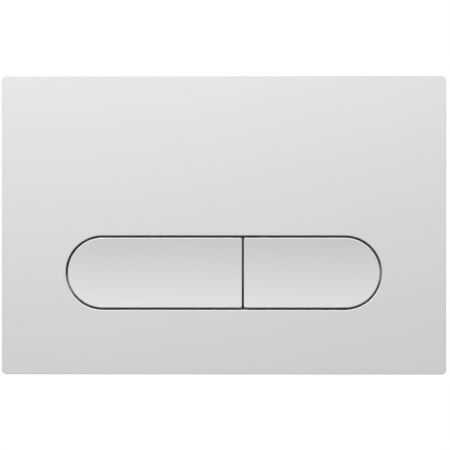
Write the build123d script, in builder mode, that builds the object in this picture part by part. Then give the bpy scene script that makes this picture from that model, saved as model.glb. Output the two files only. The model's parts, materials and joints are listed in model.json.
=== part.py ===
from build123d import *
import math
import os

# Lengths are in millimetres. The wall is the plane y = 0 and the front faces -Y.
# A height is a distance from the wall towards the front; behind the wall it is negative.

# Cover plate
plate_width = 247.0
plate_height = 166.0
plate_depth = 17.0
plate_corner = 2.6
plate_edge = 0.25
front_wall = 2.5
rim_wall = 2.2
cover_rib = 1.2
cover_rib_height = 1.5
cover_rib_pitch = 38.0
pry_width = 14.0
pry_height = 1.4

# Cut-out for the buttons, with the collar behind its edge
field_length = 176.1
field_height = 41.4
field_drop = 26.6
cutout_edge = 0.35
collar_wall = 1.6
collar_depth = 6.6

# Buttons
button_gap = 1.25
divider_x = 10.7
divider_gap = 1.1
button_corner = 1.2
button_edge = 0.4
button_wall = 2.0
button_skirt = 8.2
button_flange = 2.2
button_flange_sheet = 1.4
button_rib = 1.5
dish_depth = 1.2

# Spines on the backs of the buttons, each with a hinge eye and a stop toe
spine_width = 4.0
spine_from_end = 27.0
spine_from_divider = 14.0
eye_radius = 3.0
arm_root = 6.0
toe_thickness = 3.0
toe_root = 7.0
press_angle = 8.5

# Hinge axles and their rings
axle_radius = 1.5
axle_head_radius = 2.6
axle_head = 1.0
ring_radius = 3.0
ring_thickness = 0.8
axle_stickout = 0.6

# Carrier behind the cover
boss_height = 2.3
boss_radius = 3.0
carrier_sheet = 2.0
carrier_side = 12.0
carrier_head = 7.5
carrier_corner = 6.0
carrier_lip = 3.7
carrier_lip_wall = 1.6
carrier_rib = 1.2
carrier_rib_height = 2.5
carrier_rib_pitch = 13.0
ear_radius = 3.2
ear_width = 3.0
ear_foot = 1.5
hinge_land = 1.8
seat_width = 6.0

# Screws that hold the carrier to the cover
screw_radius = 1.45
screw_head_radius = 2.8
screw_head = 2.0
screw_inset = 5.0
screw_bite = 3.2

# Return springs
wire_radius = 0.45
coil_radius = 2.9
coil_turns = 4
coil_pitch = 1.15
spring_leg = 10.0
pad_length = 6.0

# Rubber bumpers
bumper_head_radius = 3.0
bumper_head = 1.6
bumper_stem_radius = 1.5
bumper_bulb_radius = 2.1
bumper_bulb = 1.0
bumper_land = 0.8

# Mounting frame on the wall
frame_sheet = 3.0
frame_corner = 5.0
frame_lip = 4.0
frame_lip_wall = 1.6
frame_rib = 1.2
frame_rib_height = 2.0
frame_rib_pitch = 36.0
frame_rib_columns = 4
frame_rib_rows = 3
window_land = 3.0
window_height = 118.0
window_corner = 6.0
tray_wall = 2.0
bridge_sheet = 3.0
bridge_height = 16.0
bridge_rib = 2.0
bridge_rib_height = 5.0
mullion_width = 8.0
guide_wall = 2.2
guide_length = 10.5

# Clips between the frame and the cover
clip_x = 80.0
clip_width = 12.0
clip_wall = 1.6
clip_reach = 1.2
clip_nose = 2.4
clip_land = 0.8
clip_slit = 1.5
clip_tongue = 9.0
catch_height = 6.0
catch_depth = 2.5

# Fixing screws
fixing_spacing = 168.0
fixing_rise = 28.0
stud_radius = 4.0
stud_neck_radius = 3.5
stud_length = 50.0
stud_taper = 4.0
fixing_head_radius = 10.0
fixing_head = 5.0
flute_radius = 1.2
flute_count = 16
lug_half_width = 12.0
lug_half_height = 13.0
lug_slot = 14.0
lug_corner = 1.5

# Push rods
rod_spacing = 76.0
rod_lever = 36.0
rod_radius = 3.0
rod_length = 58.0
rod_head_radius = 6.0
rod_head = 3.0
spigot_radius = 2.25
spigot_length = 9.0
nose_radius = 4.5
nose_drop = 3.0
driver_slot = 1.4
driver_slot_depth = 1.4

# Clearances
carrier_clearance = 0.4
arm_clearance = 0.6
trough_clearance = 1.0
side_clearance = 0.4
running_clearance = 0.08
press_clearance = 0.02
screw_clearance = 0.2
toe_clearance = 0.2
lip_clearance = 1.2
spring_clearance = 0.12
clip_clearance = 0.35
clip_play = 0.2
window_clearance = 2.2
push_clearance = 0.3
stop_clearance = 0.5
guide_clearance = 0.25
slot_clearance = 0.3

# Heights of the layers, from the front to the wall
cover_inner = plate_depth - front_wall
carrier_front = cover_inner - boss_height
carrier_rear = carrier_front - carrier_sheet
collar_rear = plate_depth - collar_depth
skirt_rear = plate_depth - button_skirt
hinge_height = carrier_front - ear_radius
arm_front = carrier_rear - arm_clearance
arm_rear = hinge_height - eye_radius
wire_height = hinge_height - coil_radius
spring_seat = wire_height + wire_radius + spring_clearance
bumper_rear = carrier_rear - bumper_head
toe_front = bumper_rear - toe_clearance
toe_rear = toe_front - toe_thickness
rib_rear = skirt_rear + button_rib
nose_tip = hinge_height - nose_drop
rod_head_front = nose_tip - push_clearance
rod_head_rear = rod_head_front - rod_head

# Places across the plate, from its centre
cavity_width = plate_width - 2 * rim_wall
cavity_height = plate_height - 2 * rim_wall
field_z = -field_drop
field_top = field_z + field_height / 2
field_bottom = field_z - field_height / 2
button_span = field_length - 2 * button_gap
button_height = field_height - 2 * button_gap
button_top = field_z + button_height / 2
button_bottom = field_z - button_height / 2
button_reach = button_span / 2 + button_flange
opening_margin = collar_wall + carrier_clearance
trough_half = max(eye_radius, ring_radius, coil_radius + wire_radius) + trough_clearance
hinge_z = field_top + opening_margin + hinge_land + trough_half
bumper_z = field_bottom - opening_margin - bumper_land - bumper_head_radius
toe_end = bumper_z - bumper_head_radius
carrier_top = hinge_z + trough_half + carrier_head
carrier_bottom = toe_end - lip_clearance - carrier_lip_wall
carrier_half = field_length / 2 + opening_margin + carrier_side
rod_z = hinge_z - rod_lever
rod_travel = rod_lever * math.radians(press_angle)
frame_width = cavity_width - 2 * (clip_reach + clip_clearance)
frame_height = cavity_height - 2 * (clip_reach + clip_clearance)
window_half = max(
    fixing_spacing / 2 + fixing_head_radius + window_land,
    button_reach + window_clearance,
)
window_width = 2 * window_half
window_bottom = toe_end - window_clearance
window_z = window_bottom + window_height / 2
bridge_front = rod_head_rear - rod_travel - stop_clearance
bridge_rear = bridge_front - bridge_sheet
guide_rear = bridge_front - guide_length
dish_radius = ((button_height / 2) ** 2 + dish_depth**2) / (2 * dish_depth)
dish_centre = plate_depth - dish_depth + dish_radius

# Each button: where its flat end is, which way that end faces, its spines and its push rod
large_flat_end = divider_x - divider_gap / 2
small_flat_end = divider_x + divider_gap / 2
large_spines = (-button_span / 2 + spine_from_end, large_flat_end - spine_from_divider)
small_spines = (small_flat_end + spine_from_divider, button_span / 2 - spine_from_end)
large_rod_x = -rod_spacing / 2
small_rod_x = rod_spacing / 2

screw_columns = (-carrier_half + screw_inset, divider_x, carrier_half - screw_inset)
screw_rows = (carrier_bottom + screw_inset, carrier_top - screw_inset)
screw_spots = [(x, z) for x in screw_columns for z in screw_rows]


def from_wall(height):
    """Sketch plane parallel to the wall: local x to the right, local y up, normal to the front."""
    return Plane.XZ.offset(height)


def across(x):
    """Sketch plane square to the hinge axis, for profiles made of side() points."""
    return Plane.YZ.offset(x)


def side(height, z):
    """Point of a profile on an across() plane."""
    return (-height, z)


def pressed(height, z):
    """Height of a button's point when the button is fully in."""
    angle = math.radians(press_angle)
    return hinge_height + (height - hinge_height) * math.cos(angle) + (z - hinge_z) * math.sin(angle)


def profile(points):
    """Closed straight-sided face in the current sketch."""
    with BuildLine() as outline:
        Polyline(points, close=True)
    make_face(outline.edges())


def turn(x, z, points):
    """Revolves (radius, height) points about the line square to the wall at x, z."""
    with BuildSketch(Plane((x, 0, z), x_dir=(1, 0, 0), z_dir=(0, 0, 1))) as section:
        profile([(radius, -height) for radius, height in points])
    revolve(section.sketch, axis=Axis((x, 0, z), (0, 1, 0)))


def pin_along_x(x_low, x_high, radius, mode=Mode.ADD):
    """Cylinder on the hinge axis between two places."""
    with BuildSketch(across(x_low)) as section:
        with Locations(side(hinge_height, hinge_z)):
            Circle(radius)
    extrude(section.sketch, amount=x_high - x_low, mode=mode)


def save(piece, node):
    piece.part.label = node
    export_step(piece.part, f"parts/{node}.step")


def field_slot(margin, mode=Mode.ADD):
    """The cut-out's round-ended outline, grown by a margin, in the current sketch."""
    with Locations((0, field_z)):
        SlotOverall(field_length + 2 * margin, field_height + 2 * margin, mode=mode)


def make_cover_plate():
    rim_z = cavity_height / 2
    upper_zone = rim_z - field_top
    rib_rows = (field_top + upper_zone / 3, field_top + 2 * upper_zone / 3)
    rib_columns = int(cavity_width / cover_rib_pitch)
    with BuildPart() as cover:
        with BuildSketch(from_wall(0)):
            RectangleRounded(plate_width, plate_height, plate_corner)
        extrude(amount=plate_depth)
        fillet(cover.faces().sort_by(Axis.Y)[0].edges(), plate_edge)
        with BuildSketch(from_wall(0)):
            Rectangle(cavity_width, cavity_height)
        extrude(amount=cover_inner, mode=Mode.SUBTRACT)

        # Stiffening ribs on the back of the front wall
        with BuildSketch(from_wall(cover_inner - cover_rib_height)):
            with GridLocations(cover_rib_pitch, 0, rib_columns, 1):
                Rectangle(cover_rib, cavity_height)
            with Locations(*[(0, z) for z in rib_rows]):
                Rectangle(cavity_width, cover_rib)
        extrude(amount=cover_rib_height)

        # Collar and cut-out
        with BuildSketch(from_wall(collar_rear)):
            field_slot(collar_wall)
        extrude(amount=cover_inner - collar_rear)
        with BuildSketch(from_wall(collar_rear)):
            field_slot(0)
        extrude(amount=collar_depth, mode=Mode.SUBTRACT)
        fillet(cover.faces().sort_by(Axis.Y)[0].inner_wires()[0].edges(), cutout_edge)

        # Screw bosses
        with BuildSketch(from_wall(carrier_front)):
            with Locations(*screw_spots):
                Circle(boss_radius)
        extrude(amount=boss_height)
        with BuildSketch(from_wall(carrier_front)):
            with Locations(*screw_spots):
                Circle(screw_radius + press_clearance)
        extrude(amount=screw_bite + screw_clearance, mode=Mode.SUBTRACT)

        # Notch in the lower rim for levering the cover off its clips
        with BuildSketch(from_wall(0)):
            with Locations((0, -plate_height / 2)):
                Rectangle(pry_width, 3 * rim_wall)
        extrude(amount=pry_height, mode=Mode.SUBTRACT)

        # Catches for the frame's clips
        for up in (-1, 1):
            for x in (-clip_x, clip_x):
                with BuildSketch(across(x - clip_width / 2)):
                    profile(
                        [
                            side(catch_height - catch_depth, up * rim_z),
                            side(catch_height - clip_land, up * (rim_z - clip_reach)),
                            side(catch_height, up * (rim_z - clip_reach)),
                            side(catch_height, up * rim_z),
                        ]
                    )
                extrude(amount=clip_width)
    return cover


def button_outline(flat_end, facing, inset):
    """Half of the round-ended field, ending at the divider, drawn in by an inset.

    With a negative inset it grows, but not past the flat end.
    """
    keep = (Align.MAX if facing > 0 else Align.MIN, Align.CENTER)
    with BuildSketch() as outline:
        with Locations((0, field_z)):
            SlotOverall(button_span - 2 * inset, button_height - 2 * inset)
        with Locations((flat_end - facing * max(inset, 0), field_z)):
            Rectangle(plate_width, plate_height, align=keep, mode=Mode.INTERSECT)
        flat_corners = outline.vertices().group_by(Axis.X)[-1 if facing > 0 else 0]
        fillet(flat_corners, button_corner)
    return outline.sketch


def cut_dish(offset):
    """Clips the current part to the hollow front, or to a surface that far behind it."""
    radius = dish_radius + offset
    reach = button_height / 2 + button_gap
    edge_height = dish_centre - math.sqrt(radius**2 - reach**2)
    clear_height = plate_depth + dish_depth
    with BuildSketch(across(-field_length / 2)) as section:
        with BuildLine():
            arc = ThreePointArc(
                side(edge_height, field_z - reach),
                side(dish_centre - radius, field_z),
                side(edge_height, field_z + reach),
            )
            Polyline(
                arc @ 1,
                side(clear_height, field_z + reach),
                side(clear_height, field_z - reach),
                arc @ 0,
            )
        make_face()
    extrude(section.sketch, amount=field_length, mode=Mode.SUBTRACT)


def spine_profile():
    """Hinge arm, rib and stop toe of a button, in one side view."""
    skin = button_wall / 2
    profile(
        [
            side(arm_rear, hinge_z),
            side(arm_rear, button_top - arm_root),
            side(rib_rear, button_top - arm_root - (rib_rear - arm_rear)),
            side(rib_rear, button_bottom + toe_root),
            side(toe_rear, button_bottom + toe_root - (rib_rear - toe_rear)),
            side(toe_rear, toe_end),
            side(toe_front, toe_end),
            side(toe_front, button_bottom + skin),
            side(plate_depth, button_bottom + skin),
            side(plate_depth, button_top - skin),
            side(arm_front, button_top - skin),
            side(arm_front, hinge_z),
        ]
    )
    with Locations(side(hinge_height, hinge_z)):
        Circle(eye_radius)


def make_button(flat_end, facing, spines, rod_x):
    skin = button_wall / 2
    outer = button_outline(flat_end, facing, 0)
    inner = button_outline(flat_end, facing, button_wall)
    flange = button_outline(flat_end, facing, -button_flange)
    with BuildPart() as cavity:
        with BuildSketch(from_wall(skirt_rear)):
            add(inner)
        extrude(amount=button_skirt)
        cut_dish(button_wall)
    with BuildPart() as button:
        with BuildSketch(from_wall(skirt_rear)):
            add(outer)
        extrude(amount=button_skirt)
        with BuildSketch(from_wall(skirt_rear)):
            add(flange)
        extrude(amount=button_flange_sheet)
        add(cavity.part, mode=Mode.SUBTRACT)

        # Cross ribs through the push nose
        with BuildSketch(from_wall(rib_rear)):
            add(inner)
            with Locations((0, rod_z)):
                Rectangle(field_length, button_rib, mode=Mode.INTERSECT)
            with Locations((rod_x, field_z)):
                Rectangle(button_rib, button_height - 2 * skin)
        extrude(amount=plate_depth - rib_rear)

        # Push nose
        with BuildSketch(from_wall(nose_tip + nose_radius)):
            with Locations((rod_x, rod_z)):
                Circle(nose_radius)
        extrude(amount=plate_depth - nose_tip - nose_radius)
        with Locations((rod_x, -nose_tip - nose_radius, rod_z)):
            Sphere(nose_radius)

        # Pad under the spring's lower leg
        with BuildSketch(from_wall(spring_seat)):
            with Locations((spring_x(spines) - coil_turns * coil_pitch / 2, button_top - skin)):
                Rectangle(seat_width, pad_length, align=(Align.CENTER, Align.MAX))
        extrude(amount=plate_depth - spring_seat)

        for x in spines:
            with BuildSketch(across(x - spine_width / 2)):
                spine_profile()
            extrude(amount=spine_width)
        cut_dish(0)
        bore_radius = axle_radius + running_clearance
        pin_along_x(-plate_width / 2, plate_width / 2, bore_radius, Mode.SUBTRACT)
        front = button.faces().filter_by(GeomType.CYLINDER).sort_by(SortBy.AREA)[-1]
        fillet(front.outer_wire().edges(), button_edge)
    return button


def spring_x(spines):
    return (spines[0] + spines[1]) / 2


def ear_places(spines):
    """Low faces of the four ears that stand on both sides of two hinge arms."""
    half_gap = spine_width / 2 + side_clearance
    return [x + reach for x in spines for reach in (-half_gap - ear_width, half_gap)]


def axle_ends(spines):
    """From the head, outside the first ear, to the tip, past the ring outside the last ear."""
    ears = ear_places(spines)
    return ears[0] - axle_head, ears[-1] + ear_width + ring_thickness + axle_stickout


def carrier_outline(inset, mode=Mode.ADD):
    with Locations((0, (carrier_top + carrier_bottom) / 2)):
        RectangleRounded(
            2 * (carrier_half - inset),
            carrier_top - carrier_bottom - 2 * inset,
            carrier_corner - inset,
            mode=mode,
        )


def make_carrier():
    upper_legs = [spring_x(spines) + coil_turns * coil_pitch / 2 for spines in (large_spines, small_spines)]
    taken = upper_legs + list(screw_columns)
    rib_count = int(carrier_half / carrier_rib_pitch)
    rib_places = [step * carrier_rib_pitch for step in range(-rib_count, rib_count + 1)]
    head_ribs = [place for place in rib_places if all(abs(place - x) > seat_width for x in taken)]
    side_ribs = [field_z + step * carrier_rib_pitch for step in (-1, 0, 1)]
    with BuildPart() as carrier:
        with BuildSketch(from_wall(carrier_rear)):
            carrier_outline(0)
            field_slot(opening_margin, mode=Mode.SUBTRACT)
        extrude(amount=carrier_sheet)
        with BuildSketch(from_wall(carrier_rear - carrier_lip)):
            carrier_outline(0)
            carrier_outline(carrier_lip_wall, mode=Mode.SUBTRACT)
        extrude(amount=carrier_lip)

        for spines in (large_spines, small_spines):
            # Trough for the hinge, bridged by the ears that hold the axle
            low, high = axle_ends(spines)
            with BuildSketch(from_wall(carrier_rear)):
                with Locations(((low + high) / 2, hinge_z)):
                    Rectangle(high - low + 2 * trough_clearance, 2 * trough_half)
            extrude(amount=carrier_sheet, mode=Mode.SUBTRACT)
            for x in ear_places(spines):
                with BuildSketch(across(x)):
                    with Locations(side(hinge_height, hinge_z)):
                        Circle(ear_radius)
                    with Locations(side(carrier_front, hinge_z)):
                        Rectangle(
                            carrier_sheet, 2 * (trough_half + ear_foot), align=(Align.MIN, Align.CENTER)
                        )
                    make_hull()
                extrude(amount=ear_width)

            # Seat under the spring's upper leg
            leg_x = spring_x(spines) + coil_turns * coil_pitch / 2
            with BuildSketch(from_wall(spring_seat)):
                with Locations((leg_x, hinge_z + spring_leg)):
                    Rectangle(seat_width, spring_leg / 2, align=(Align.CENTER, Align.MAX))
            extrude(amount=carrier_rear - spring_seat)
            pin_along_x(low, high, axle_radius + press_clearance, Mode.SUBTRACT)

        # Stiffening ribs above the troughs and on the side bands
        with BuildSketch(from_wall(carrier_rear - carrier_rib_height)):
            with Locations(*[(x, hinge_z + trough_half) for x in head_ribs]):
                Rectangle(carrier_rib, carrier_head, align=(Align.CENTER, Align.MIN))
            for facing, align in ((-1, Align.MIN), (1, Align.MAX)):
                with Locations(*[(facing * carrier_half, z) for z in side_ribs]):
                    Rectangle(carrier_side - carrier_rib, carrier_rib, align=(align, Align.CENTER))
        extrude(amount=carrier_rib_height)

        with BuildSketch(from_wall(carrier_rear)):
            with Locations(*screw_spots):
                Circle(screw_radius + screw_clearance)
            with Locations(*[(x, bumper_z) for x in large_spines + small_spines]):
                Circle(bumper_stem_radius + press_clearance)
        extrude(amount=carrier_sheet, mode=Mode.SUBTRACT)
    return carrier


def make_axle(spines):
    low, high = axle_ends(spines)
    with BuildPart() as axle:
        pin_along_x(low, high, axle_radius)
        pin_along_x(low, low + axle_head, axle_head_radius)
    return axle


def make_axle_ring(spines):
    low = ear_places(spines)[-1] + ear_width
    with BuildPart() as ring:
        pin_along_x(low, low + ring_thickness, ring_radius)
        pin_along_x(low, low + ring_thickness, axle_radius + press_clearance, Mode.SUBTRACT)
    return ring


def make_return_spring(spines):
    """Torsion spring on the axle: the lower leg bears on the button, the upper one on the carrier."""
    length = coil_turns * coil_pitch
    start = Plane(
        (spring_x(spines) - length / 2, -hinge_height, hinge_z), x_dir=(0, 1, 0), z_dir=(1, 0, 0)
    )
    coil = start.location * Helix(coil_pitch, length, coil_radius, mode=Mode.PRIVATE)
    lower_leg = hinge_z - button_top + pad_length
    with BuildPart() as spring:
        with BuildLine() as path:
            add(coil)
            Line(coil @ 0 - (coil % 0) * lower_leg, coil @ 0)
            Line(coil @ 1, coil @ 1 + (coil % 1) * spring_leg)
        wire = path.wires()[0]
        with BuildSketch(Plane(wire @ 0, z_dir=wire % 0)):
            RegularPolygon(wire_radius, 8)
        sweep(path=wire)
    return spring


def make_bumper(x):
    front = carrier_front + bumper_bulb
    with BuildPart() as bumper:
        turn(
            x,
            bumper_z,
            [
                (0, bumper_rear),
                (bumper_head_radius, bumper_rear),
                (bumper_head_radius, carrier_rear),
                (bumper_stem_radius, carrier_rear),
                (bumper_stem_radius, carrier_front),
                (bumper_bulb_radius, carrier_front),
                (bumper_stem_radius, front),
                (0, front),
            ],
        )
    return bumper


def make_carrier_screws():
    head_rear = carrier_rear - screw_head
    tip = carrier_front + screw_bite
    with BuildPart() as screws:
        for x, z in screw_spots:
            turn(
                x,
                z,
                [
                    (0, head_rear),
                    (screw_head_radius - screw_head / 2, head_rear),
                    (screw_head_radius, head_rear + screw_head / 2),
                    (screw_head_radius, carrier_rear),
                    (screw_radius, carrier_rear),
                    (screw_radius, tip - screw_radius),
                    (screw_radius / 2, tip),
                    (0, tip),
                ],
            )
    return screws


def frame_outline(inset, mode=Mode.ADD):
    RectangleRounded(frame_width - 2 * inset, frame_height - 2 * inset, frame_corner - inset, mode=mode)


def window_outline(margin, mode=Mode.ADD):
    with Locations((0, window_z)):
        RectangleRounded(
            window_width + 2 * margin, window_height + 2 * margin, window_corner + margin, mode=mode
        )


def make_mounting_frame():
    guide_bore = rod_radius + guide_clearance
    rods = [(large_rod_x, rod_z), (small_rod_x, rod_z)]
    ledge_front = pressed(toe_rear, toe_end) - stop_clearance
    out = frame_height / 2
    nose_rear = catch_height + clip_play
    with BuildPart() as frame:
        with BuildSketch(from_wall(0)):
            frame_outline(0)
            window_outline(0, mode=Mode.SUBTRACT)
            for facing in (-1, 1):
                inner_x = fixing_spacing / 2 - lug_half_width
                lug_width = window_half - inner_x + tray_wall
                with Locations((facing * (inner_x + lug_width / 2), fixing_rise)):
                    RectangleRounded(lug_width, 2 * lug_half_height, lug_corner)
                with Locations((facing * fixing_spacing / 2, fixing_rise)):
                    SlotOverall(
                        lug_slot, 2 * (stud_radius + slot_clearance), rotation=90, mode=Mode.SUBTRACT
                    )
            # Slits beside the clip tongues
            slit_reach = (clip_width + clip_slit) / 2
            slits = [clip_x - slit_reach, clip_x + slit_reach]
            with Locations(*[(facing * x, up * out) for facing in (-1, 1) for up in (-1, 1) for x in slits]):
                Rectangle(clip_slit, 2 * clip_tongue, mode=Mode.SUBTRACT)
        extrude(amount=frame_sheet)

        # Stiffening lip round the outside, open at the clips
        with BuildSketch(from_wall(frame_sheet)):
            frame_outline(0)
            frame_outline(frame_lip_wall, mode=Mode.SUBTRACT)
            with Locations((-clip_x, 0), (clip_x, 0)):
                Rectangle(2 * clip_width, frame_height, mode=Mode.SUBTRACT)
        extrude(amount=frame_lip)

        # Lower lip round the window and ribs across the bands
        with BuildSketch(from_wall(frame_sheet)):
            with GridLocations(frame_rib_pitch, 0, frame_rib_columns, 1):
                Rectangle(frame_rib, frame_height)
            with GridLocations(0, frame_rib_pitch, 1, frame_rib_rows):
                Rectangle(frame_width, frame_rib)
            frame_outline(frame_lip_wall / 2, mode=Mode.INTERSECT)
            window_outline(frame_lip_wall)
            window_outline(0, mode=Mode.SUBTRACT)
        extrude(amount=frame_rib_height)

        # Tray wall inside the wall opening, with the bridge and the rod guides
        with BuildSketch(from_wall(guide_rear)):
            window_outline(tray_wall)
            window_outline(0, mode=Mode.SUBTRACT)
        extrude(amount=-guide_rear)
        with BuildSketch(from_wall(bridge_rear)):
            with Locations((0, rod_z)):
                Rectangle(window_width + tray_wall, bridge_height)
            with Locations((divider_x, window_z)):
                Rectangle(mullion_width, window_height + tray_wall)
        extrude(amount=bridge_sheet)
        with BuildSketch(from_wall(bridge_rear - bridge_rib_height)):
            with Locations((0, rod_z)):
                Rectangle(window_width + tray_wall, bridge_rib)
            with Locations((divider_x, window_z)):
                Rectangle(bridge_rib, window_height + tray_wall)
        extrude(amount=bridge_rib_height)
        with BuildSketch(from_wall(guide_rear)):
            with Locations(*rods):
                Circle(guide_bore + guide_wall)
        extrude(amount=guide_length)
        with BuildSketch(from_wall(guide_rear)):
            with Locations(*rods):
                Circle(guide_bore)
        extrude(amount=guide_length, mode=Mode.SUBTRACT)

        # Ledges that stop the toes when a button is fully in
        with BuildSketch(from_wall(ledge_front - bridge_sheet)):
            with Locations(*[(x, window_bottom - tray_wall / 2) for x in large_spines + small_spines]):
                Rectangle(2 * spine_width, toe_root, align=(Align.CENTER, Align.MIN))
        extrude(amount=bridge_sheet)

        # Spring clips that hold the cover
        for up in (-1, 1):
            for x in (-clip_x, clip_x):
                with BuildSketch(across(x - clip_width / 2)):
                    profile(
                        [
                            side(0, up * (out - clip_wall)),
                            side(nose_rear + clip_nose, up * (out - clip_wall)),
                            side(nose_rear + clip_nose, up * out),
                            side(nose_rear + clip_land, up * (out + clip_reach)),
                            side(nose_rear, up * (out + clip_reach)),
                            side(nose_rear, up * out),
                            side(0, up * out),
                        ]
                    )
                extrude(amount=clip_width)
    return frame


def make_fixing_screw(x):
    head_front = frame_sheet + fixing_head
    with BuildPart() as screw:
        turn(
            x,
            fixing_rise,
            [
                (0, head_front),
                (fixing_head_radius - fixing_head / 4, head_front),
                (fixing_head_radius, head_front - fixing_head / 4),
                (fixing_head_radius, frame_sheet),
                (stud_neck_radius, frame_sheet),
                (stud_neck_radius, 0),
                (stud_radius, stud_neck_radius - stud_radius),
                (stud_radius, stud_taper - stud_length),
                (stud_radius / 2, -stud_length),
                (0, -stud_length),
            ],
        )
        with BuildSketch(from_wall(head_front - driver_slot_depth)):
            with Locations((x, fixing_rise)):
                Rectangle(2 * fixing_head_radius, driver_slot)
        extrude(amount=driver_slot_depth, mode=Mode.SUBTRACT)
        with BuildSketch(from_wall(frame_sheet)):
            with Locations((x, fixing_rise)):
                with PolarLocations(fixing_head_radius + flute_radius / 2, flute_count):
                    Circle(flute_radius)
        extrude(amount=fixing_head, mode=Mode.SUBTRACT)
    return screw


def make_push_rod(x):
    shank_end = spigot_length - rod_length
    with BuildPart() as rod:
        turn(
            x,
            rod_z,
            [
                (0, rod_head_front),
                (rod_head_radius - rod_head / 4, rod_head_front),
                (rod_head_radius, rod_head_front - rod_head / 4),
                (rod_head_radius, rod_head_rear),
                (rod_radius, rod_head_rear),
                (rod_radius, shank_end),
                (spigot_radius, shank_end),
                (spigot_radius, -rod_length),
                (0, -rod_length),
            ],
        )
        with BuildSketch(from_wall(rod_head_front - driver_slot_depth)):
            with Locations((x, rod_z)):
                Rectangle(2 * rod_head_radius, driver_slot)
        extrude(amount=driver_slot_depth, mode=Mode.SUBTRACT)
    return rod


os.makedirs("parts", exist_ok=True)
save(make_cover_plate(), "cover_plate")
save(make_carrier(), "button_carrier")
save(make_button(large_flat_end, 1, large_spines, large_rod_x), "large_button")
save(make_button(small_flat_end, -1, small_spines, small_rod_x), "small_button")
save(make_carrier_screws(), "carrier_screws")
save(make_mounting_frame(), "mounting_frame")
for size, spines, rod_x in (("large", large_spines, large_rod_x), ("small", small_spines, small_rod_x)):
    save(make_axle(spines), f"{size}_hinge_axle")
    save(make_axle_ring(spines), f"{size}_axle_ring")
    save(make_return_spring(spines), f"{size}_return_spring")
    save(make_push_rod(rod_x), f"{size}_push_rod")
    for hand, x in zip(("left", "right"), spines):
        save(make_bumper(x), f"{size}_{hand}_bumper")
for hand, facing in (("left", -1), ("right", 1)):
    save(make_fixing_screw(facing * fixing_spacing / 2), f"{hand}_fixing_screw")
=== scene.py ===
import bmesh
import bpy
import json
import math
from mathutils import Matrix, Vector


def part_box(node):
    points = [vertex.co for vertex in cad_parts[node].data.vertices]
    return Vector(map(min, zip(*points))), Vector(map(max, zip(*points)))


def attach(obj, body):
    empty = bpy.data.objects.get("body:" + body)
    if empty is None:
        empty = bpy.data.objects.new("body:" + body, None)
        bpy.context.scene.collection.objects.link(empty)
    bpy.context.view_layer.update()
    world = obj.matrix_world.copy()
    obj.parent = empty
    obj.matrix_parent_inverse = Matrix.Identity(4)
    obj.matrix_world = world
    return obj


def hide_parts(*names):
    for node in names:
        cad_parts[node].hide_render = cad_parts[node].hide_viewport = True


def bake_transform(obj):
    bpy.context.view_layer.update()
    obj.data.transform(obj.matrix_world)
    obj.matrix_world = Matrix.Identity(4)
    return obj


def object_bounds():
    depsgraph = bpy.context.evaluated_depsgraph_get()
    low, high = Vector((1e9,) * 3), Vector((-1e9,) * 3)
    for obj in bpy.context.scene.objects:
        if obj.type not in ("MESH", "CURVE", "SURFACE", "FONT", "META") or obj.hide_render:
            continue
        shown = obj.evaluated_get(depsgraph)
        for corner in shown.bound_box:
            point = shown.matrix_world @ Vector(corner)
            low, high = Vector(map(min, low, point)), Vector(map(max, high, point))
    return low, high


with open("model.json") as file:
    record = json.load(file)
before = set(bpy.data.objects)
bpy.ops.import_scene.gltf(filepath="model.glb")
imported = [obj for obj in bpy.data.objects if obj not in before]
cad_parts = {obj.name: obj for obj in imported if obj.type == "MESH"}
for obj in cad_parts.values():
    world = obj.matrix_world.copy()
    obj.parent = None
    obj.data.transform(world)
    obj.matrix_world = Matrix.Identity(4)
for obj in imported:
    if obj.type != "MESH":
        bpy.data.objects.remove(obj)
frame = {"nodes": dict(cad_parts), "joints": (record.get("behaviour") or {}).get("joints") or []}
cadLow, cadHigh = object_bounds()
mm = 0.001
weld = 0.002 * mm  # points closer than this become one
onCut = 0.0001 * mm  # points nearer to a cut than this lie on it
fullTurn = 2 * math.pi
quarterTurn = math.pi / 2
hingeAt = Vector(next(j for j in frame["joints"] if j["name"] == "large_button_press")["pos_m"])
print("frame loaded, box in mm:", [round(v / mm, 1) for v in cadHigh - cadLow])


# Small helpers for modelling by operators

def clearSelection():
    if bpy.context.mode != "OBJECT":
        bpy.ops.object.mode_set(mode="OBJECT")
    bpy.ops.object.select_all(action="DESELECT")


def takeUp(piece):
    clearSelection()
    piece.select_set(True)
    bpy.context.view_layer.objects.active = piece


def editAll(piece):
    takeUp(piece)
    bpy.ops.object.mode_set(mode="EDIT")
    bpy.ops.mesh.select_mode(type="VERT")
    bpy.ops.mesh.select_all(action="SELECT")


def pickEdges(piece, test):
    # selects only the edges that pass the test, in edit mode
    bpy.ops.mesh.select_mode(type="EDGE")
    bpy.ops.mesh.select_all(action="DESELECT")
    shape = bmesh.from_edit_mesh(piece.data)
    for edge in shape.edges:
        if test(edge):
            edge.select_set(True)
    shape.select_flush_mode()
    bmesh.update_edit_mesh(piece.data)


def closeUp():
    # welds the shape that is being edited, points its faces outwards and leaves edit mode
    bpy.ops.mesh.select_all(action="SELECT")
    bpy.ops.mesh.remove_doubles(threshold=weld)
    bpy.ops.mesh.normals_make_consistent(inside=False)
    clearSelection()


def drawLine(points):
    # a plane is drawn together to one vertex, and the line is extruded from it point by point
    clearSelection()
    bpy.ops.mesh.primitive_plane_add(size=mm)
    line = bpy.context.active_object
    editAll(line)
    bpy.ops.mesh.merge(type="CENTER")
    bpy.ops.transform.translate(value=points[0])
    for here, there in zip(points, points[1:]):
        bpy.ops.mesh.extrude_vertices_move(TRANSFORM_OT_translate={"value": there - here})
    return line


def roundEdges(piece, rounding, sharpAngle=60):
    editAll(piece)
    bpy.ops.mesh.select_mode(type="EDGE")
    bpy.ops.mesh.select_all(action="DESELECT")
    bpy.ops.mesh.edges_select_sharp(sharpness=math.radians(sharpAngle))
    bpy.ops.mesh.bevel(offset=rounding, segments=3, affect="EDGES")
    closeUp()


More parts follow.
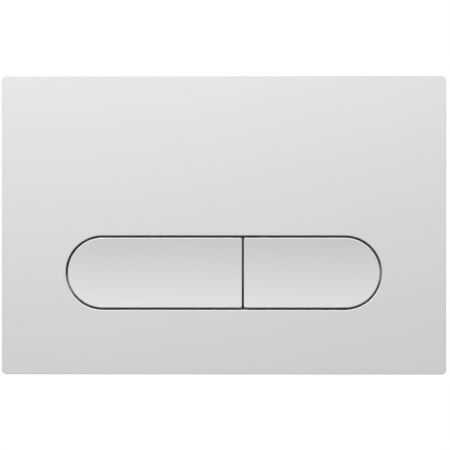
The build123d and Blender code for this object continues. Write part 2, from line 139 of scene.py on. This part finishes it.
def softenEdges(piece, rounding, sharpAngle=38):
    # flat faces become one again first, because the bevel gets no wider than short edges let it
    editAll(piece)
    bpy.ops.mesh.remove_doubles(threshold=weld)
    bpy.ops.mesh.dissolve_limited(angle_limit=math.radians(1))
    takeUp(piece)
    soft = piece.modifiers.new("soft", "BEVEL")
    soft.width = rounding
    soft.segments = 2
    soft.limit_method = "ANGLE"
    soft.angle_limit = math.radians(sharpAngle)
    bpy.ops.object.modifier_apply(modifier=soft.name)


def turnOnLathe(centre, outline, sides, rounding=0):
    # outline of (radius, y) pairs, turned about the line along y through the centre
    piece = drawLine([Vector((centre.x + radius, y, centre.z)) for radius, y in outline])
    bpy.ops.mesh.select_all(action="SELECT")
    bpy.ops.mesh.spin(steps=sides, angle=fullTurn, center=(centre.x, 0, centre.z), axis=(0, 1, 0))
    closeUp()
    if rounding:
        roundEdges(piece, rounding, sharpAngle=40)
    return piece


threadFlanks = (0.20, 0.42, 0.62, 0.84)  # where the rise and the fall start and end, in shares of the pitch


def cutThread(centre, thread, start, end):
    # one pitch of the thread, screwed up along y and cut off square at both ends
    crest = thread["radius"]
    root = crest - thread["depth"]
    pitch = thread["pitch"]
    riseFrom, riseTo, fallFrom, fallTo = threadFlanks
    section = [(root, 0), (root, riseFrom), (crest, riseTo), (crest, fallFrom), (root, fallTo), (root, 1)]
    piece = drawLine([Vector((radius, share * pitch, 0)) for radius, share in section])
    clearSelection()
    low = start - 1.5 * pitch  # it runs on past both cuts
    piece.location = (centre.x, low, centre.z)
    takeUp(piece)
    screw = piece.modifiers.new("thread", "SCREW")
    screw.axis = "Y"
    screw.screw_offset = pitch
    screw.iterations = math.ceil((end - low) / pitch) + 2
    screw.steps = screw.render_steps = thread["steps"]
    screw.use_merge_vertices = True
    screw.merge_threshold = weld
    bpy.ops.object.modifier_apply(modifier=screw.name)
    bpy.ops.object.transform_apply(location=True)
    for height, side in ((start, "clear_inner"), (end, "clear_outer")):
        editAll(piece)
        bpy.ops.mesh.remove_doubles(threshold=weld)
        bpy.ops.mesh.select_all(action="SELECT")
        bpy.ops.mesh.bisect(
            plane_co=(0, height, 0), plane_no=(0, 1, 0), use_fill=True, threshold=onCut, **{side: True}
        )
    editAll(piece)
    closeUp()
    return piece


def combine(piece, tools, operation="DIFFERENCE"):
    # cuts tool shapes out of a piece, or adds them to it, one boolean after the other
    for tool in tools:
        takeUp(piece)
        step = piece.modifiers.new("step", "BOOLEAN")
        step.operation = operation
        step.solver = "EXACT"
        step.object = tool
        bpy.ops.object.modifier_apply(modifier=step.name)
        bpy.data.objects.remove(tool)
    return piece


def blockTool(centre, size, turn=0):
    # a block, turned about the line along x through its centre
    clearSelection()
    bpy.ops.mesh.primitive_cube_add(size=1, location=centre, rotation=(turn, 0, 0), scale=size)
    bpy.ops.object.transform_apply(location=True, rotation=True, scale=True)
    return bpy.context.active_object


def roundBar(centre, radius, length, sides, turn):
    clearSelection()
    bpy.ops.mesh.primitive_cylinder_add(
        vertices=sides, radius=radius, depth=length, location=centre, rotation=turn
    )
    bpy.ops.object.transform_apply(location=True, rotation=True)
    return bpy.context.active_object


def fluteTool(front, rim, size):
    # one round cutter at the rim of a head, turned from the slot's line and spun round the head in copies
    flute, count, turn = size["fluteRadius"], size["flutes"], size["fluteTurn"]
    out = rim + flute / 2
    place = front + Vector((out * math.cos(turn), 0, -out * math.sin(turn)))
    tool = roundBar(place, flute, size["fluteCut"], size["fluteSides"], (quarterTurn, turn, 0))
    editAll(tool)
    bpy.ops.mesh.spin(
        steps=count - 1,
        dupli=True,
        angle=fullTurn - fullTurn / count,
        center=(front.x, 0, front.z),
        axis=(0, 1, 0),
    )
    closeUp()
    return tool


def makeHead(front, radius, size, rear):
    # a chamfered head with flutes and a driver slot; rear is the outline from the rim's back edge on
    chamfer, slot = size["chamfer"], size["slot"]
    outline = [(0, front.y), (radius - chamfer, front.y), (radius, front.y + chamfer)] + rear
    tools = [
        fluteTool(front, radius, size),
        blockTool(front, (3 * radius, 2 * slot, slot)),  # half of its depth lies in the head
    ]
    head = combine(turnOnLathe(front, outline, size["sides"]), tools)
    softenEdges(head, size["rounding"])
    return head


def copyBy(piece, shift):
    # one more of the piece, with its own mesh, moved over by the shift
    takeUp(piece)
    bpy.ops.object.duplicate()
    other = bpy.context.active_object
    editAll(other)
    bpy.ops.transform.translate(value=shift)
    clearSelection()
    return other


def makeForEach(nodes, make):
    # the piece is made for the first node, and each other node gets a copy of it
    piece = make(nodes[0])
    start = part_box(nodes[0])[0]
    copies = [copyBy(piece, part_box(node)[0] - start) for node in nodes[1:]]
    return list(zip(nodes, [piece] + copies))


def joinPieces(pieces):
    takeUp(pieces[0])
    for piece in pieces[1:]:
        piece.select_set(True)
    bpy.ops.object.join()
    return pieces[0]


def finishPiece(piece, node, body, finish, smoothAngle=35):
    # the piece is cut into well shaped triangles and takes over the node's name, written as one word
    first, *others = node.split("_")
    editAll(piece)
    bpy.ops.mesh.dissolve_limited(angle_limit=math.radians(0.2))
    bpy.ops.mesh.select_all(action="SELECT")
    bpy.ops.mesh.dissolve_degenerate(threshold=weld)
    bpy.ops.mesh.select_all(action="SELECT")
    bpy.ops.mesh.quads_convert_to_tris(quad_method="BEAUTY", ngon_method="BEAUTY")
    takeUp(piece)
    bpy.ops.object.shade_smooth_by_angle(angle=math.radians(smoothAngle))
    piece.name = piece.data.name = first + "".join(word.title() for word in others)
    piece.data.materials.clear()
    piece.data.materials.append(finish)
    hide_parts(node)
    if body:
        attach(piece, body)
    clearSelection()


# Materials

class Level:
    # a shader value that can stand in plain sums
    def __init__(self, recipe, output):
        self.recipe = recipe
        self.output = output

    def sum(self, operation, first, second):
        return self.recipe.node("ShaderNodeMath", {"operation": operation}, {0: first, 1: second})

    def __add__(self, other):
        return self.sum("ADD", self, other)

    def __radd__(self, other):
        return self.sum("ADD", other, self)

    def __sub__(self, other):
        return self.sum("SUBTRACT", self, other)

    def __rsub__(self, other):
        return self.sum("SUBTRACT", other, self)

    def __mul__(self, other):
        return self.sum("MULTIPLY", self, other)

    def __rmul__(self, other):
        return self.sum("MULTIPLY", other, self)

    def orMore(self, other):
        return self.sum("MAXIMUM", self, other)


class Recipe:
    # the nodes of one material or of the world
    def __init__(self, owner):
        owner.use_nodes = True
        self.owner = owner
        self.tree = owner.node_tree

    def node(self, kind, settings, sockets, output=0):
        made = self.tree.nodes.new(kind)
        for key, value in settings.items():
            if key == "stops":
                for stop, (spot, level) in zip(made.color_ramp.elements, value):
                    stop.position = spot
                    stop.color = (level, level, level, 1)
            else:
                setattr(made, key, value)
        for key, value in sockets.items():
            self.feed(made.inputs[key], value)
        return Level(self, made.outputs[output])

    def feed(self, socket, value):
        if isinstance(value, Level):
            self.tree.links.new(value.output, socket)
        else:
            socket.default_value = value

    def place(self, scale=(1, 1, 1)):
        # where a point lies on the piece, in metres times the scale
        spot = self.node("ShaderNodeTexCoord", {}, {}, "Object")
        return self.node("ShaderNodeMapping", {}, {"Vector": spot, "Scale": scale})

    def noise(self, size, detail=2.0, stretch=(1, 1, 1)):
        # grain of about the given size in metres, longer along an axis where stretch is below 1
        spot = {"Vector": self.place(stretch), "Scale": 1 / size, "Detail": detail}
        return self.node("ShaderNodeTexNoise", {}, spot)

    def cells(self, size):
        spot = {"Vector": self.place(), "Scale": 1 / size}
        return self.node("ShaderNodeTexVoronoi", {}, spot, "Distance")

    def step(self, value, low, high):
        # 0 up to the low mark, 1 from the high mark on
        return self.node("ShaderNodeValToRGB", {"stops": ((low, 0), (high, 1))}, {"Fac": value})

    def blend(self, factor, first, second):
        pair = {0: factor, 6: (*first, 1), 7: (*second, 1)}
        return self.node("ShaderNodeMix", {"data_type": "RGBA"}, pair, 2)

    def facingBack(self):
        normal = self.node("ShaderNodeTexCoord", {}, {}, "Normal")
        towardsWall = self.node("ShaderNodeSeparateXYZ", {}, {0: normal}, "Y")
        return self.step(towardsWall, low=0.2, high=0.8)

    def pinMarks(self, pitch, radius, rim):
        # round marks of the mould's ejector pins, at a pitch across the piece
        grid = self.place((1 / pitch, 0, 1 / pitch))
        inCell = self.node("ShaderNodeVectorMath", {"operation": "FRACTION"}, {0: grid})
        toMiddle = {0: inCell, 1: (0.5, 0, 0.5)}
        away = self.node("ShaderNodeVectorMath", {"operation": "DISTANCE"}, toMiddle, "Value")
        return 1 - self.step(away, (radius - rim) / pitch, radius / pitch)

    def seen(self):
        # 1 for what the camera sees itself, or in a gloss or through glass
        kinds = ("Is Camera Ray", "Is Glossy Ray", "Is Transmission Ray")
        camera, gloss, through = [self.node("ShaderNodeLightPath", {}, {}, kind) for kind in kinds]
        return camera.orMore(gloss.orMore(through))


def startFinish(name, fixed):
    recipe = Recipe(bpy.data.materials.new(name))
    for socket, value in fixed.items():
        recipe.tree.nodes["Principled BSDF"].inputs[socket].default_value = value
    return recipe


def around(level, spread, grain):
    # a level that wanders by the spread, with a grain that goes from 0 to 1
    return level + spread * (grain - 0.5)


def endFinish(recipe, colour, roughness, height, depth):
    bump = {"Strength": 1.0, "Distance": depth, "Height": height}
    relief = recipe.node("ShaderNodeBump", {}, bump, "Normal")
    sockets = recipe.tree.nodes["Principled BSDF"].inputs
    recipe.feed(sockets["Base Color"], colour)
    recipe.feed(sockets["Roughness"], roughness)
    recipe.feed(sockets["Normal"], relief)
    return recipe.owner


satinLook = {
    "fixed": {"Specular IOR Level": 0.45},
    "pale": (0.700, 0.690, 0.678),
    "dull": (0.685, 0.675, 0.662),
    "cloud": 60 * mm,
    "grain": 0.35 * mm,
    "depth": 0.006 * mm,
    "roughness": 0.42,
    "spread": 0.08,
    "backRoughness": 0.16,
    "pins": {"pitch": 31 * mm, "radius": 2.2 * mm, "rim": 0.25 * mm},
    "pinGloss": 0.7,
    "pinDepth": 12,  # in heights of the grain
}


def makeSatinWhite(look):
    # satin mould finish in front, duller behind, where it was never polished and shows the ejector pins
    recipe = startFinish("satinWhite", look["fixed"])
    cloud = recipe.noise(look["cloud"])
    grain = recipe.noise(look["grain"], detail=3)
    back = recipe.facingBack()
    marks = recipe.pinMarks(**look["pins"]) * back
    colour = recipe.blend(cloud, look["pale"], look["dull"])
    roughness = around(look["roughness"], look["spread"], grain)
    roughness = roughness + look["backRoughness"] * (back - look["pinGloss"] * marks)
    height = grain * (1 + back) - look["pinDepth"] * marks
    return endFinish(recipe, colour, roughness, height, look["depth"])


carrierLook = {
    "fixed": {"Specular IOR Level": 0.4},
    "dark": (0.030, 0.031, 0.033),
    "light": (0.050, 0.051, 0.054),
    "flow": 25 * mm,
    "flowStretch": (0.3, 1, 1),
    "cell": 0.45 * mm,
    "pit": 0.225 * mm,
    "cellShare": 0.6,
    "depth": 0.05 * mm,
    "roughness": 0.52,
    "spread": 0.2,
}


def makeCarrierBlack(look):
    # spark-eroded grain: shallow cells with finer pits between them
    recipe = startFinish("carrierBlack", look["fixed"])
    cells = recipe.cells(look["cell"])
    pits = recipe.noise(look["pit"], detail=3)
    flow = recipe.noise(look["flow"], detail=3, stretch=look["flowStretch"])
    colour = recipe.blend(flow, look["dark"], look["light"])
    roughness = around(look["roughness"], look["spread"], pits)
    height = cells * look["cellShare"] + pits * (1 - look["cellShare"])
    return endFinish(recipe, colour, roughness, height, look["depth"])


frameLook = {
    "fixed": {},
    "pale": (0.125, 0.130, 0.138),
    "dull": (0.100, 0.104, 0.112),
    "flow": 18 * mm,
    "flowStretch": (0.25, 1, 1),
    "flowEdge": (0.35, 0.7),
    "grain": 0.6 * mm,
    "depth": 0.02 * mm,
    "roughness": 0.46,
    "spread": 0.15,
    "flowSpread": 0.06,
    "pins": {"pitch": 23 * mm, "radius": 1.8 * mm, "rim": 0.25 * mm},
    "pinGloss": 0.12,
    "pinDepth": 5,  # in heights of the grain
}


def makeFrameGrey(look):
    # fine matt grain with faint flow marks along the bands and the ejector pins' marks behind
    recipe = startFinish("frameGrey", look["fixed"])
    flow = recipe.noise(look["flow"], detail=4, stretch=look["flowStretch"])
    grain = recipe.noise(look["grain"], detail=4)
    marks = recipe.pinMarks(**look["pins"]) * recipe.facingBack()
    colour = recipe.blend(recipe.step(flow, *look["flowEdge"]), look["pale"], look["dull"])
    roughness = around(look["roughness"], look["spread"], grain)
    roughness = around(roughness, look["flowSpread"], flow) - look["pinGloss"] * marks
    return endFinish(recipe, colour, roughness, grain - look["pinDepth"] * marks, look["depth"])


fittingLook = {
    "fixed": {
        "Subsurface Weight": 0.12,
        "Subsurface Radius": (1, 1, 0.9),
        "Subsurface Scale": 0.4 * mm,
    },
    "milky": (0.64, 0.65, 0.63),
    "warm": (0.57, 0.57, 0.53),
    "cloud": 9 * mm,
    "cloudEdge": (0.35, 0.7),
    "grain": 0.5 * mm,
    "depth": 0.012 * mm,
    "roughness": 0.36,
    "spread": 0.1,
}


def makeFittingWhite(look):
    # natural, slightly translucent plastic of the rods and fixing screws
    recipe = startFinish("fittingWhite", look["fixed"])
    cloud = recipe.noise(look["cloud"], detail=3)
    grain = recipe.noise(look["grain"], detail=3)
    colour = recipe.blend(recipe.step(cloud, *look["cloudEdge"]), look["milky"], look["warm"])
    roughness = around(look["roughness"], look["spread"], grain)
    return endFinish(recipe, colour, roughness, grain, look["depth"])


steelLook = {
    "fixed": {"Metallic": 1.0},
    "bright": (0.62, 0.62, 0.63),
    "shade": (0.46, 0.46, 0.48),
    "line": 0.12 * mm,
    "lineStretch": (0.02, 1, 1),
    "stain": 3 * mm,
    "stainEdge": (0.3, 0.75),
    "depth": 0.006 * mm,
    "roughness": 0.28,
    "spread": 0.2,
    "stainDulls": 0.1,
}


def makeBrightSteel(look):
    # drawn lines run along the pins
    recipe = startFinish("brightSteel", look["fixed"])
    lines = recipe.noise(look["line"], stretch=look["lineStretch"])
    stain = recipe.noise(look["stain"], detail=3)
    colour = recipe.blend(recipe.step(stain, *look["stainEdge"]), look["bright"], look["shade"])
    roughness = around(look["roughness"], look["spread"], lines) + look["stainDulls"] * stain
    return endFinish(recipe, colour, roughness, lines, look["depth"])


zincLook = {
    "fixed": {"Metallic": 1.0},
    "bright": (0.60, 0.62, 0.66),
    "shade": (0.42, 0.45, 0.50),
    "spangle": 0.5 * mm,
    "haze": 1.2 * mm,
    "hazeShare": 0.5,
    "shadeEdge": (0.2, 0.7),
    "depth": 0.008 * mm,
    "roughness": 0.34,
    "spread": 0.15,
}


def makeScrewZinc(look):
    # bluish plating with a faint spangle
    recipe = startFinish("screwZinc", look["fixed"])
    spangle = recipe.cells(look["spangle"])
    haze = recipe.noise(look["haze"], detail=3)
    mottle = spangle * (1 - look["hazeShare"]) + haze * look["hazeShare"]
    colour = recipe.blend(recipe.step(mottle, *look["shadeEdge"]), look["bright"], look["shade"])
    roughness = around(look["roughness"], look["spread"], haze)
    return endFinish(recipe, colour, roughness, spangle, look["depth"])


rubberLook = {
    "fixed": {"Specular IOR Level": 0.35},
    "black": (0.018, 0.018, 0.019),
    "bloom": (0.045, 0.044, 0.043),
    "patch": 1.5 * mm,
    "patchEdge": (0.45, 0.75),
    "grain": 0.25 * mm,
    "depth": 0.03 * mm,
    "roughness": 0.68,
    "spread": 0.2,
}


def makeBumperRubber(look):
    # soft black rubber with a pale bloom here and there
    recipe = startFinish("bumperRubber", look["fixed"])
    patches = recipe.noise(look["patch"], detail=4)
    grain = recipe.noise(look["grain"], detail=3)
    colour = recipe.blend(recipe.step(patches, *look["patchEdge"]), look["black"], look["bloom"])
    roughness = around(look["roughness"], look["spread"], grain)
    return endFinish(recipe, colour, roughness, grain, look["depth"])


satinWhite = makeSatinWhite(satinLook)
carrierBlack = makeCarrierBlack(carrierLook)
frameGrey = makeFrameGrey(frameLook)
fittingWhite = makeFittingWhite(fittingLook)
brightSteel = makeBrightSteel(steelLook)
screwZinc = makeScrewZinc(zincLook)
bumperRubber = makeBumperRubber(rubberLook)
print("materials made:", len(bpy.data.materials))

# Moulded pieces and pins keep their solids and get their finish
keptNodes = {
    "cover_plate": satinWhite,
    "large_button": satinWhite,
    "small_button": satinWhite,
    "button_carrier": carrierBlack,
    "mounting_frame": frameGrey,
    "large_hinge_axle": brightSteel,
    "small_hinge_axle": brightSteel,
}
for node, finish in keptNodes.items():
    frame["nodes"][node].material_slots[0].material = finish
print("finishes set on", len(keptNodes), "solids")


# Fixing screws

fixingScrew = {
    "headRadius": 10.0 * mm,
    "head": 5.0 * mm,
    "chamfer": 1.25 * mm,
    "sides": 96,
    "flutes": 16,
    "fluteRadius": 1.2 * mm,
    "fluteSides": 16,
    "fluteTurn": 0,
    "fluteCut": 12.5 * mm,
    "slot": 1.4 * mm,
    "rounding": 0.14 * mm,
    "shank": 3.5 * mm,
    "shankTo": 3.5 * mm,
    "shankSides": 60,
    "overlap": 2.0 * mm,
    "thread": {"radius": 4.0 * mm, "depth": 0.85 * mm, "pitch": 2.0 * mm, "steps": 36},
    "cone": 12.0 * mm,
    "coneSides": 72,
    "tip": 2.0 * mm,
}


def makeFixingScrew(node):
    low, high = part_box(node)
    centre = (low + high) / 2
    front = Vector((centre.x, low.y, centre.z))
    radius, shank, shankTo = fixingScrew["headRadius"], fixingScrew["shank"], fixingScrew["shankTo"]
    seat = low.y + fixingScrew["head"]
    head = makeHead(front, radius, fixingScrew, [(radius, seat), (0, seat)])
    # the neck joins after the head is rounded, so that its end stays sharp in the thread
    inside = seat - fixingScrew["overlap"]
    outline = [(0, inside), (shank, inside), (shank, shankTo), (0, shankTo)]
    neck = turnOnLathe(centre, outline, fixingScrew["shankSides"])
    # the thread fades out on a blunt lead-in cone
    stud = cutThread(centre, fixingScrew["thread"], 0, high.y)
    crest = fixingScrew["thread"]["radius"]
    outline = [
        (0, -crest),
        (2 * crest, -crest),
        (2 * crest, high.y - fixingScrew["cone"]),
        (fixingScrew["tip"], high.y),
        (0, high.y),
    ]
    combine(stud, [turnOnLathe(centre, outline, fixingScrew["coneSides"])], "INTERSECT")
    return combine(head, [neck, stud], "UNION")


for node, screw in makeForEach(["left_fixing_screw", "right_fixing_screw"], makeFixingScrew):
    finishPiece(screw, node, "housing", fittingWhite)
print("fixing screws threaded")


# Push rods

pushRod = {
    "head": 3.0 * mm,
    "chamfer": 0.75 * mm,
    "sides": 60,
    "flutes": 12,
    "fluteRadius": 0.8 * mm,
    "fluteSides": 12,
    "fluteTurn": fullTurn / 24,  # half their pitch, so that they stay clear of the slot
    "fluteCut": 6.0 * mm,
    "slot": 1.4 * mm,
    "rounding": 0.07 * mm,
    "shank": 3.0 * mm,
    "shankTo": 21.0 * mm,
    "thread": {"radius": 2.98 * mm, "depth": 0.58 * mm, "pitch": 1.5 * mm, "steps": 32},
    "overlap": 2.0 * mm,
    "spigot": 9.0 * mm,
    "spigotRadius": 2.25 * mm,
    "spigotRounding": 0.3 * mm,
    "spigotSides": 48,
}


def makePushRod(node):
    low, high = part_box(node)
    centre = (low + high) / 2
    front = Vector((centre.x, low.y, centre.z))
    radius, shank, shankTo = (high.x - low.x) / 2, pushRod["shank"], pushRod["shankTo"]
    seat = low.y + pushRod["head"]
    rod = makeHead(front, radius, pushRod, [(radius, seat), (shank, seat), (shank, shankTo), (0, shankTo)])
    # the thread and the spigot reach into what comes before them
    shoulder = high.y - pushRod["spigot"]
    thread = cutThread(centre, pushRod["thread"], shankTo - pushRod["overlap"], shoulder)
    end, inside = pushRod["spigotRadius"], shoulder - pushRod["overlap"]
    outline = [(0, inside), (end, inside), (end, high.y), (0, high.y)]
    spigot = turnOnLathe(centre, outline, pushRod["spigotSides"], pushRod["spigotRounding"])
    return combine(rod, [thread, spigot], "UNION")


for node, rod in makeForEach(["large_push_rod", "small_push_rod"], makePushRod):
    finishPiece(rod, node, node, fittingWhite)
print("push rods threaded")


# Return springs

returnSpring = {
    "wire": 0.45 * mm,
    "coil": 2.9 * mm,
    "turns": 4,
    "pitch": 1.15 * mm,
    "sides": 12,
    "steps": 40,
    "endRounding": 0.135 * mm,
}


def makeReturnSpring(node):
    # a wire section is screwed along the hinge axis, and both ends run on straight as legs
    low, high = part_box(node)
    wire, coil, pitch = returnSpring["wire"], returnSpring["coil"], returnSpring["pitch"]
    slant = pitch / (fullTurn * coil)
    startX = low.x + wire + slant * (hingeAt.z - low.z)
    endX = startX + returnSpring["turns"] * pitch
    clearSelection()
    bpy.ops.mesh.primitive_circle_add(vertices=returnSpring["sides"], radius=wire, location=(0, coil, 0))
    spring = bpy.context.active_object
    bpy.ops.object.transform_apply(location=True)
    spring.location = (startX, hingeAt.y, hingeAt.z)
    screw = spring.modifiers.new("coil", "SCREW")
    screw.axis = "X"
    screw.screw_offset = pitch
    screw.iterations = returnSpring["turns"]
    screw.steps = screw.render_steps = returnSpring["steps"]
    takeUp(spring)
    bpy.ops.object.modifier_apply(modifier=screw.name)
    bpy.ops.object.transform_apply(location=True)
    editAll(spring)
    bpy.ops.mesh.remove_doubles(threshold=weld)
    for x, reach in ((startX, low.z - hingeAt.z), (endX, high.z - hingeAt.z)):
        pickEdges(spring, lambda edge: edge.is_boundary and abs(edge.verts[0].co.x - x) < pitch)
        bpy.ops.mesh.extrude_region_move(TRANSFORM_OT_translate={"value": (slant * reach, 0, reach)})
        bpy.ops.mesh.edge_face_add()
    closeUp()
    roundEdges(spring, returnSpring["endRounding"])
    return spring


for node, spring in makeForEach(["large_return_spring", "small_return_spring"], makeReturnSpring):
    finishPiece(spring, node, None, brightSteel, smoothAngle=60)
    # the leg at low x sits on the button's side and the other on the housing's; the spring is attached to no
    # body and baked in place as it is
    node.split("_")[0] + "_button"
    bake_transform(spring)
print("springs wound")


# Rings on the axle ends

axleRing = {"bore": 1.55 * mm, "notches": 6, "notch": 0.7 * mm, "rounding": 0.06 * mm, "sides": 48}


def makeAxleRing(node):
    # a disc with a toothed bore, whose teeth bite on the pin
    low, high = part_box(node)
    centre = (low + high) / 2
    radius = (high.z - low.z) / 2
    bore, notch, sides = axleRing["bore"], axleRing["notch"], axleRing["sides"]
    alongPin = (0, quarterTurn, 0)
    ring = roundBar(centre, radius, high.x - low.x, sides, alongPin)
    tools = [roundBar(centre, bore, 2 * radius, sides, alongPin)]
    for pair in range(axleRing["notches"] // 2):
        # each bar cuts two notches, one on either side of the pin
        turn = fullTurn * pair / axleRing["notches"]
        tools.append(blockTool(centre, (2 * radius, notch, 2 * (bore + notch)), turn))
    combine(ring, tools)
    roundEdges(ring, axleRing["rounding"])
    return ring


for node, ring in makeForEach(["large_axle_ring", "small_axle_ring"], makeAxleRing):
    finishPiece(ring, node, "housing", brightSteel)
print("rings cut")


# Rubber bumpers

bumper = {
    "head": 1.6 * mm,
    "stem": 1.5 * mm,
    "sheet": 2.0 * mm,
    "bulb": 2.1 * mm,
    "rounding": 0.35 * mm,
    "sides": 40,
}


def makeBumper(node):
    low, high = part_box(node)
    centre = (low + high) / 2
    radius = (high.x - low.x) / 2
    seat = high.y - bumper["head"]
    front = seat - bumper["sheet"]
    outline = [
        (0, high.y),
        (radius, high.y),
        (radius, seat),
        (bumper["stem"], seat),
        (bumper["stem"], front),
        (bumper["bulb"], front),
        (bumper["stem"], low.y),
        (0, low.y),
    ]
    return turnOnLathe(centre, outline, bumper["sides"], bumper["rounding"])


bumperNodes = [size + "_" + hand + "_bumper" for size in ("large", "small") for hand in ("left", "right")]
for node, stud in makeForEach(bumperNodes, makeBumper):
    finishPiece(stud, node, "housing", bumperRubber)
print("bumpers turned")


# Screws of the carrier

carrierScrew = {
    "headRadius": 2.8 * mm,
    "head": 2.0 * mm,
    "dome": ((0, 0), (0.45, 0.04), (0.8, 0.2), (1, 0.45)),  # out and down, in shares of the head's radius
    "shank": 1.45 * mm,
    "tip": 1.45 * mm,
    "crossLength": 3.0 * mm,
    "crossWidth": 0.62 * mm,
    "crossDepth": 1.3 * mm,
    "rounding": 0.2 * mm,
    "sides": 48,
}


def makeCarrierScrews(node):
    # one pan-head screw with a cross recess is turned, then copied to the other places
    solid = frame["nodes"][node].data
    low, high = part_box(node)
    radius, shank = carrierScrew["headRadius"], carrierScrew["shank"]
    rows = (low.z + radius, high.z - radius)
    # the place of the middle pair is read from the solid
    middleX = [v.co.x for v in solid.vertices if abs(v.co.x) < (high.x - low.x) / 4]
    columns = (low.x + radius, (min(middleX) + max(middleX)) / 2, high.x - radius)
    centre = Vector((columns[0], 0, rows[0]))
    seat = high.y - carrierScrew["head"]
    outline = [(out * radius, high.y - down * radius) for out, down in carrierScrew["dome"]]
    outline += [
        (radius, seat),
        (shank, seat),
        (shank, low.y + carrierScrew["tip"]),
        (shank / 2, low.y),
        (0, low.y),
    ]
    screw = turnOnLathe(centre, outline, carrierScrew["sides"], carrierScrew["rounding"])
    recess = Vector((centre.x, high.y, centre.z))
    long, wide, deep = carrierScrew["crossLength"], carrierScrew["crossWidth"], 2 * carrierScrew["crossDepth"]
    combine(screw, [blockTool(recess, size) for size in ((long, deep, wide), (wide, deep, long))])
    others = [Vector((x, 0, z)) for x in columns for z in rows][1:]
    return joinPieces([screw] + [copyBy(screw, place - centre) for place in others])


finishPiece(makeCarrierScrews("carrier_screws"), "carrier_screws", "housing", screwZinc)
print("carrier screws set")


# Floor, light and camera

studio = {
    "floorDrop": 0.16,
    "floorRadius": 3.0,
    "floorFixed": {"Specular IOR Level": 0.2, "Roughness": 0.85},
    "floorColour": (0.62, 0.62, 0.62),
    "floorBounce": (0.08, 0.08, 0.08),
    "whiteFrom": 0.30,
    "whiteTo": 0.75,
    "ambient": 0.10,
    "keyPlace": (-0.18, -0.73, 1.09),
    "keySize": 0.60,
    "keyPower": 29.4,
    "backPlace": (0.75, 0.95, 0.55),
    "backSize": 0.7,
    "backPower": 9.0,
}


def makeFloor():
    # a plain pale disc that throws little light back and turns into the backdrop's white further out
    clearSelection()
    height = cadLow.z - studio["floorDrop"]
    bpy.ops.mesh.primitive_circle_add(
        vertices=128, radius=studio["floorRadius"], fill_type="NGON", location=(0, 0, height)
    )
    floor = bpy.context.active_object
    floor.name = "studioFloor"
    bpy.ops.object.transform_apply(location=True)
    recipe = startFinish("paleFloor", studio["floorFixed"])
    seen = recipe.seen()
    surface = recipe.tree.nodes["Principled BSDF"]
    colour = recipe.blend(seen, studio["floorBounce"], studio["floorColour"])
    recipe.feed(surface.inputs["Base Color"], colour)
    flat = recipe.place((1, 1, 0))
    away = recipe.node("ShaderNodeVectorMath", {"operation": "LENGTH"}, {0: flat}, "Value")
    factor = recipe.step(away, studio["whiteFrom"], studio["whiteTo"]) * seen
    white = recipe.node("ShaderNodeEmission", {}, {"Color": (1, 1, 1, 1), "Strength": 1.0})
    lit = Level(recipe, surface.outputs[0])
    mixed = recipe.node("ShaderNodeMixShader", {}, {0: factor, 1: lit, 2: white})
    recipe.feed(recipe.tree.nodes["Material Output"].inputs["Surface"], mixed)
    floor.data.materials.append(recipe.owner)


def addSoftbox(name, place, size, power):
    clearSelection()
    bpy.ops.object.light_add(type="AREA", location=place)
    lamp = bpy.context.active_object
    lamp.name = name
    lamp.data.shape = "SQUARE"
    lamp.data.size = size
    lamp.data.energy = power
    aim = Vector((0, cadLow.y, 0)) - lamp.location
    lamp.rotation_euler = aim.to_track_quat("-Z", "Y").to_euler()


def makeWorld():
    # white where the camera or a gloss sees it, dim grey as light
    world = bpy.data.worlds.new("studioWorld")
    bpy.context.scene.world = world
    recipe = Recipe(world)
    backdrop = recipe.tree.nodes["Background"]
    recipe.feed(backdrop.inputs["Color"], (1, 1, 1, 1))
    recipe.feed(backdrop.inputs["Strength"], studio["ambient"] + (1 - studio["ambient"]) * recipe.seen())


photoView = {
    "pixels": 450,
    "pixelsPerMetre": 1799.0,
    "distance": 1.25,
    "azimuth": math.radians(0.9),
    "elevation": math.radians(0.2),
    "aim": (0.00075, 0.0),
    "sensor": 36.0,
}


def makeCamera():
    aim = Vector((photoView["aim"][0], cadLow.y, photoView["aim"][1]))
    azimuth, elevation = photoView["azimuth"], photoView["elevation"]
    back = Vector(
        (
            math.sin(azimuth) * math.cos(elevation),
            -math.cos(azimuth) * math.cos(elevation),
            math.sin(elevation),
        )
    )
    clearSelection()
    bpy.ops.object.camera_add(location=aim + photoView["distance"] * back)
    camera = bpy.context.active_object
    camera.rotation_euler = (-back).to_track_quat("-Z", "Y").to_euler()
    focal = photoView["pixelsPerMetre"] * photoView["distance"] / photoView["pixels"]
    camera.data.sensor_width = photoView["sensor"]
    camera.data.lens = focal * photoView["sensor"]
    bpy.context.scene.camera = camera


makeFloor()
addSoftbox("keyLight", studio["keyPlace"], studio["keySize"], studio["keyPower"])
backX, backY, backZ = studio["backPlace"]
for hand, side in (("left", -1), ("right", 1)):
    addSoftbox(hand + "BackLight", (side * backX, backY, backZ), studio["backSize"], studio["backPower"])
makeWorld()
makeCamera()
bpy.context.scene.view_settings.view_transform = "Standard"
print("studio set")
